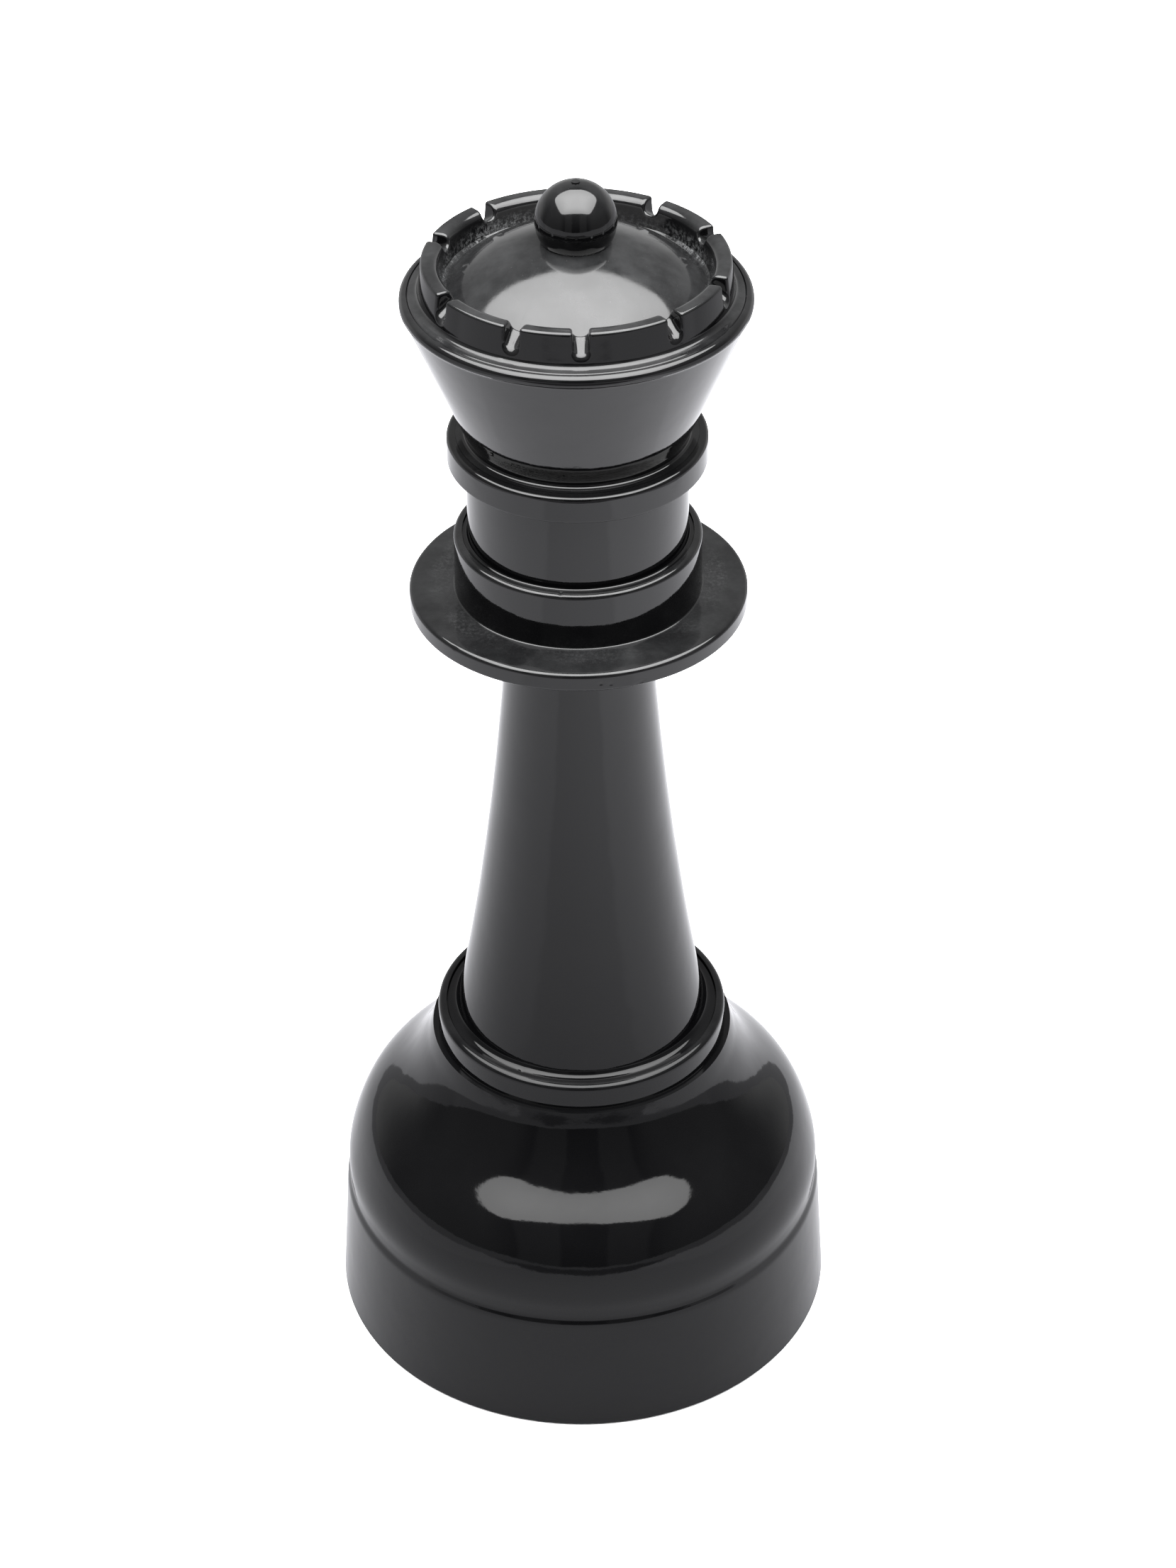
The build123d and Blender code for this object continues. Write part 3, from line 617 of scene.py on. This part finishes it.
def crown_shape(seat_z, top):
    """Rounded solid of the crown's top side as a signed distance, with its levels.

    seat_z is where the ball sits on the dome, and top is the upper edge of the wall.
    """
    flange_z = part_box("head_cup")[1].z
    dome_z = seat_z - (DOME_R ** 2 - SEAT_R ** 2) ** 0.5
    dome_edge_z = dome_z + (DOME_R ** 2 - DOME_EDGE_R ** 2) ** 0.5
    floor_in, floor_out = top - GAP_FLOOR_IN, top - GAP_FLOOR_OUT
    fall = (floor_in - floor_out) / (OUTER_TOP_R - INNER_TOP_R)

    def floor(r):
        return floor_in - fall * (np.clip(r, INNER_TOP_R, OUTER_FOOT_R) - INNER_TOP_R)

    def distance(p):
        r = np.hypot(p[..., 0], p[..., 1])
        z = p[..., 2]
        bearing = np.arctan2(p[..., 0], -p[..., 1])
        side = np.full(r.shape, 1.0)
        for notch in NOTCH_AZIMUTHS:
            turn = bearing - radians(notch)
            ahead = np.cos(turn) > 0
            side = np.where(ahead, np.minimum(side, np.abs(r * np.sin(turn))), side)
        outer = r - OUTER_FOOT_R - (OUTER_TOP_R - OUTER_FOOT_R) * (z - flange_z) / (top - flange_z)
        inner = INNER_FOOT_R + (INNER_TOP_R - INNER_FOOT_R) * (z - dome_edge_z) / (top - dome_edge_z) - r
        wall = np.maximum(round_max(outer, z - top, OUTER_ROUND), round_max(inner, z - top, INNER_ROUND))
        above = (z - floor_in + fall * (r - INNER_TOP_R)) / hypot(1, fall)
        gap = round_max(side - NOTCH_HALF, -above, NOTCH_FILLET)
        cut = round_max(wall, -gap, NOTCH_ROUND)
        flange = np.maximum(round_max(z - flange_z, r - FLANGE_R, FLANGE_ROUND), FLANGE_INNER_R - r)
        dome = np.hypot(r, z - dome_z) - DOME_R
        return round_min(round_min(cut, flange, WALL_FOOT_FILLET), dome, DOME_FILLET)

    return {"flange_z": flange_z, "dome_edge_z": dome_edge_z, "floor": floor, "distance": distance}


def drawn_onto(distance, points, rounds=9):
    """Points moved along the gradient onto the surface where distance is 0."""
    small, farthest = 0.01 * MM, 0.8 * MM
    for _ in range(rounds):
        here = distance(points)
        slope = np.stack([(distance(points + step) - distance(points - step)) / (2 * small)
                          for step in np.eye(3) * small], -1)
        move = -here / np.maximum((slope ** 2).sum(-1), 0.25)
        points = points + np.clip(move, -farthest, farthest)[..., None] * slope
    return points


# ---- pieces -------------------------------------------------------------------------------------------
MERLON_CUT = 112.0        # a half-plane through the middle of a battlement, degrees from +X
SHELL_CUT = 22.5          # a half-plane clear of screws and holes
DISC_THICKNESS = 8.2 * MM
disc_r, disc_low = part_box("collar_cup")[1].x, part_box("collar_cup")[0].z
disc_top = disc_low + DISC_THICKNESS
cup_rim, collar_rim, upper_rim, lip_top, ball_top = (
    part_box(name)[1].z for name in ("collar_cup", "base_collar", "upper_collar", "head_cup", "finial_ball"))

# dust bands: low z, high z, inner r, outer r, share
CUP_CORNER = (disc_top, disc_top + 6 * MM, 50 * MM, 64 * MM, 0.05)
CROWN_CORNER = (518 * MM, 526 * MM, 50.5 * MM, 56.5 * MM, 0.5)
plain_gloss = gloss_black("gloss_black")
ring_gloss = gloss_black("gloss_black_rings", haze=0.012)
cup_gloss = gloss_black("gloss_black_cup", haze=0.03, dust_band=CUP_CORNER)
lip_gloss = gloss_black("gloss_black_lip", haze=0.02)
crown_gloss = gloss_black("gloss_black_crown", haze=0.042, roughness=0.06, dust_band=CROWN_CORNER)
ball_gloss = gloss_black("gloss_black_ball", haze=0.026)

# nicks: azimuth, radius, height, half sizes (sideways, outwards, up), depth
SMALL_NICK = (0.7 * MM, 0.7 * MM, 0.7 * MM)
cup_nicks = [
    (-8.3, 48.9 * MM, cup_rim, (0.6 * MM, 1.8 * MM, 1.0 * MM), 0.5 * MM),
    (-46.1, disc_r - 0.5 * MM, disc_low + 7 * MM, (1.4 * MM, 0.8 * MM, 0.8 * MM), 0.25 * MM),
    (-3.1, 67.4 * MM, disc_top, (1.6 * MM, 0.8 * MM, 1.0 * MM), 0.14 * MM),
    (7.2, disc_r, disc_low + 3.6 * MM, SMALL_NICK, 0.3 * MM),
    (10.5, disc_r, disc_low + 3.1 * MM, SMALL_NICK, 0.3 * MM),
    (20.9, disc_r, disc_low + 1.7 * MM, (2.4 * MM, 0.7 * MM, 0.8 * MM), 0.25 * MM),
]
stem_nicks = [(-27.3, 58.4 * MM, collar_rim - 1 * MM, (1.5 * MM, 1.8 * MM, 1.4 * MM), 0.3 * MM)]
upper_nicks = [(-52.7, 50.2 * MM, upper_rim, (0.8 * MM, 1.2 * MM, 0.8 * MM), 0.35 * MM)]
lip_flash = [(-27.4, 63.5 * MM, lip_top, (1.4 * MM, 0.5 * MM, 1 * MM), -0.25 * MM)]
gate_marks = [(azimuth, 2.3 * MM, ball_top - 0.6 * MM, (0.9 * MM, 0.5 * MM, 1 * MM), 0.22 * MM)
              for azimuth in range(0, 360, 40)]
gate_marks.append((70, 0.5 * MM, ball_top, (0.5 * MM, 0.5 * MM, 1 * MM), 0.3 * MM))

shells = [   # node, body, material, columns, step, nicks
    ("base_shell", "base", plain_gloss, 540, 1.3 * MM, ()),
    ("base_collar", "base", ring_gloss, 480, 0.7 * MM, ()),
    ("stem_shell", "stem", plain_gloss, 440, 1.6 * MM, stem_nicks),
    ("collar_cup", "stem", cup_gloss, 560, 0.6 * MM, cup_nicks),
    ("neck_sleeve", "head", plain_gloss, 400, 1.0 * MM, ()),
    ("upper_collar", "head", ring_gloss, 480, 0.5 * MM, upper_nicks),
    ("head_cup", "head", lip_gloss, 480, 1.0 * MM, ()),
    ("finial_ball", "head", ball_gloss, 320, 0.3 * MM, gate_marks),
]
for node, body, material, columns, step, nicks in shells:
    turned_shell(node, body, material, SHELL_CUT, columns, step, nicks)

battlemented_crown("crown", "head", crown_gloss, lip_flash)

replaced = {entry[0] for entry in shells} | {"crown"}
slot_of = {part["node"]: part["material_slot"] for part in frame["record"]["subparts"]}
for name, piece in nodes.items():
    if name not in replaced:
        piece.data.materials.clear()
        piece.data.materials.append(INNER_FINISHES[slot_of[name]])


# ---- studio -------------------------------------------------------------------------------------------
SOFTBOX_CENTRE_Y, SOFTBOX_HALF_X, SOFTBOX_HALF_Y = -0.225, 1.12, 0.80   # in a plane at unit height
SOFTBOX_CORNER = 7.0                # 2 would be an ellipse, more is squarer
SOFTBOX_MIDDLE, SOFTBOX_RIM = 11.0, 7.8
ROOM, ROOM_PANEL = 0.035, 0.16       # behind the camera: dark, with two paler upright panels
BACK_WALL, BACK_HORIZON = 0.36, 0.35
SIDE_PANEL = 0.2


def studio_world():
    """One large softbox overhead in a dark room, a pale back wall, and white straight from the camera."""
    world = bpy.data.worlds.new("studio")
    scene.world = world
    world.use_nodes = True
    graph = Graph(world.node_tree)
    towards = graph.add("ShaderNodeTexCoord").outputs["Generated"]
    xyz = graph.add("ShaderNodeSeparateXYZ", Vector=towards)
    x, y, z = (xyz.outputs[name] for name in "XYZ")
    sideways = graph.math("ABSOLUTE", x)
    above = graph.math("MAXIMUM", z, 0.001)

    across = graph.math("DIVIDE", graph.math("DIVIDE", sideways, above), SOFTBOX_HALF_X)
    along = graph.math("ABSOLUTE", graph.math("SUBTRACT", graph.math("DIVIDE", y, above), SOFTBOX_CENTRE_Y))
    along = graph.math("DIVIDE", along, SOFTBOX_HALF_Y)
    reach = graph.math("POWER", graph.math("ADD", graph.math("POWER", across, SOFTBOX_CORNER),
                                           graph.math("POWER", along, SOFTBOX_CORNER)), 1 / SOFTBOX_CORNER)
    glow = graph.ramp(reach, 0.25, 1.0, SOFTBOX_MIDDLE, SOFTBOX_RIM)
    softbox = graph.math("MULTIPLY", graph.math("MULTIPLY", glow, graph.ramp(reach, 1.03, 0.98)),
                         graph.ramp(z, 0.05, 0.2))

    panel = graph.math("MULTIPLY", graph.ramp(sideways, 0.16, 0.2), graph.ramp(sideways, 0.52, 0.46))
    front = graph.math("MULTIPLY", graph.ramp(y, 0.1, -0.1), graph.math("ADD", graph.math(
        "MULTIPLY", panel, ROOM_PANEL), ROOM))
    low = graph.ramp(z, 0.35, 0.0, 0.0, BACK_HORIZON)
    back = graph.math("MULTIPLY", graph.ramp(y, 0.1, 0.6), graph.math("ADD", graph.math(
        "MULTIPLY", graph.ramp(z, 0.85, 0.7), BACK_WALL), low))
    side = graph.math("MULTIPLY", graph.ramp(sideways, 0.45, 0.75), graph.ramp(y, 0.5, 0.0, 0.0, SIDE_PANEL))
    total = graph.math("ADD", graph.math("ADD", softbox, front), graph.math("ADD", back, side))

    seen = graph.add("ShaderNodeLightPath").outputs["Is Camera Ray"]
    strength = graph.math("ADD", graph.math("MULTIPLY", total, graph.math("SUBTRACT", 1.0, seen)), seen)
    background = graph.add("ShaderNodeBackground", Strength=strength)
    background.inputs["Color"].default_value = (1, 1, 1, 1)
    output = graph.add("ShaderNodeOutputWorld")
    graph.tree.links.new(background.outputs[0], output.inputs["Surface"])
    world.cycles.sampling_method = "MANUAL"
    world.cycles.sample_map_resolution = 512


FLOOR_HALF = 3.4
FLOOR_DROP = 0.02 * MM
BOARD_HALF, BOARD_BLUR = 0.79, 0.04           # white board that the piece stands on, and its soft edge
BOARD_SHIFT = 0.04                            # the board lies this far towards the camera
# painted light in the board's colour: BOARD_NEAR to BOARD_FAR is a painted pool of light fading away from the
# piece, BOARD_SIDE the painted paler sides and back
BOARD_NEAR, BOARD_FAR, BOARD_SIDE = 0.30, 0.27, 0.31
ROOM_FLOOR, NEAR_FLOOR, BEHIND_FLOOR = 0.15, 0.045, 0.12     # far away, in front of the board, behind it
COOL_TINT = 1.04                              # the board is slightly blue
SEEN_SHADE = 0.85                             # how pale it looks straight from the camera


def studio_floor():
    """White board on a dark floor, its colour carrying painted light: a painted pool of light round the piece
    that fades outwards, painted paler sides and back, and a painted darker left side.  Reflected, it is
    duller than it looks, as under a flagged light.
    """
    corners = [(-FLOOR_HALF, -FLOOR_HALF), (FLOOR_HALF, -FLOOR_HALF), (FLOOR_HALF, FLOOR_HALF),
               (-FLOOR_HALF, FLOOR_HALF)]
    mesh = bpy.data.meshes.new("studio_floor")
    mesh.from_pydata([(x, y, -FLOOR_DROP) for x, y in corners], [], [(0, 1, 2, 3)])
    material, graph, shader, place = new_material("studio_floor")
    xyz = graph.add("ShaderNodeSeparateXYZ", Vector=place)
    x, y = xyz.outputs["X"], xyz.outputs["Y"]
    sideways = graph.math("ABSOLUTE", x)
    # painted pool of light: the board is paler near the piece and fades outwards
    painted_floor_light = graph.ramp(axis_distance(graph, x, y), 0.2, 0.7, BOARD_NEAR, BOARD_FAR)
    lit_side = graph.ramp(graph.math("ADD", sideways, graph.math("MAXIMUM", y, 0.0)), 0.15, 0.4)
    painted_floor_light = graph.math("MAXIMUM", painted_floor_light, graph.math("MULTIPLY", lit_side, BOARD_SIDE))
    # painted shade: the board's left side is made darker and its right side paler
    painted_floor_light = graph.math("MULTIPLY", painted_floor_light, graph.ramp(x, -0.6, 0.6, 0.88, 1.1))
    edge = graph.math("MAXIMUM", sideways, graph.math("ABSOLUTE", graph.math("ADD", y, BOARD_SHIFT)))
    on_board = graph.ramp(edge, BOARD_HALF + BOARD_BLUR, BOARD_HALF - BOARD_BLUR)
    before = graph.math("MULTIPLY", graph.ramp(sideways, 0.75, 0.55), graph.ramp(y, -1.75, -1.6))
    behind = graph.ramp(y, -0.1, 0.1)
    far = graph.ramp(before, 0.0, 1.0, ROOM_FLOOR, NEAR_FLOOR, False)
    far = graph.ramp(behind, 0.0, 1.0, far, BEHIND_FLOOR, False)
    shade = graph.math("ADD", graph.math("MULTIPLY", painted_floor_light, on_board),
                       graph.math("MULTIPLY", far, graph.math("SUBTRACT", 1.0, on_board)))
    seen = graph.math("MULTIPLY", graph.add("ShaderNodeLightPath").outputs["Is Camera Ray"], SEEN_SHADE)
    fibre = graph.ramp(graph.noise(place, 300, 3), 0.3, 0.7, 0.99, 1.01)
    grey = graph.math("MULTIPLY", graph.math("MAXIMUM", shade, seen), fibre)
    cool = graph.math("MAXIMUM", graph.math("MULTIPLY", shade, COOL_TINT), seen)
    colour = graph.add("ShaderNodeCombineColor", Red=grey, Green=grey, Blue=cool)
    graph.feed(shader.inputs["Base Color"], colour.outputs[0])
    shader.inputs["Roughness"].default_value = 0.9
    shader.inputs["Specular IOR Level"].default_value = 0.0
    mesh.materials.append(material)
    floor = bpy.data.objects.new("studio_floor", mesh)
    scene.collection.objects.link(floor)


studio_world()
studio_floor()
scene.view_settings.view_transform = "Standard"

# ---- camera -------------------------------------------------------------------------------------------
CAMERA_ELEVATION, CAMERA_YAW, CAMERA_ROLL = radians(35.78), 0.0026, -0.0058
CAMERA_LENS = 87.65
CAMERA_BACK, CAMERA_UP = 2.3753, 2.2          # in heights of the piece
camera_data = bpy.data.cameras.new("camera")
camera_data.lens = CAMERA_LENS
camera = bpy.data.objects.new("camera", camera_data)
scene.collection.objects.link(camera)
camera.location = (0.0, -CAMERA_BACK * cad_high.z, CAMERA_UP * cad_high.z)
forward = Vector((sin(CAMERA_YAW) * cos(CAMERA_ELEVATION), cos(CAMERA_YAW) * cos(CAMERA_ELEVATION),
                  -sin(CAMERA_ELEVATION)))
right = forward.cross(Vector((0, 0, 1))).normalized()
up = right.cross(forward)
level_right = right * cos(CAMERA_ROLL) + up * sin(CAMERA_ROLL)
level_up = up * cos(CAMERA_ROLL) - right * sin(CAMERA_ROLL)
turn = Matrix((level_right, level_up, -forward)).transposed()
camera.rotation_euler = turn.to_euler()
scene.camera = camera
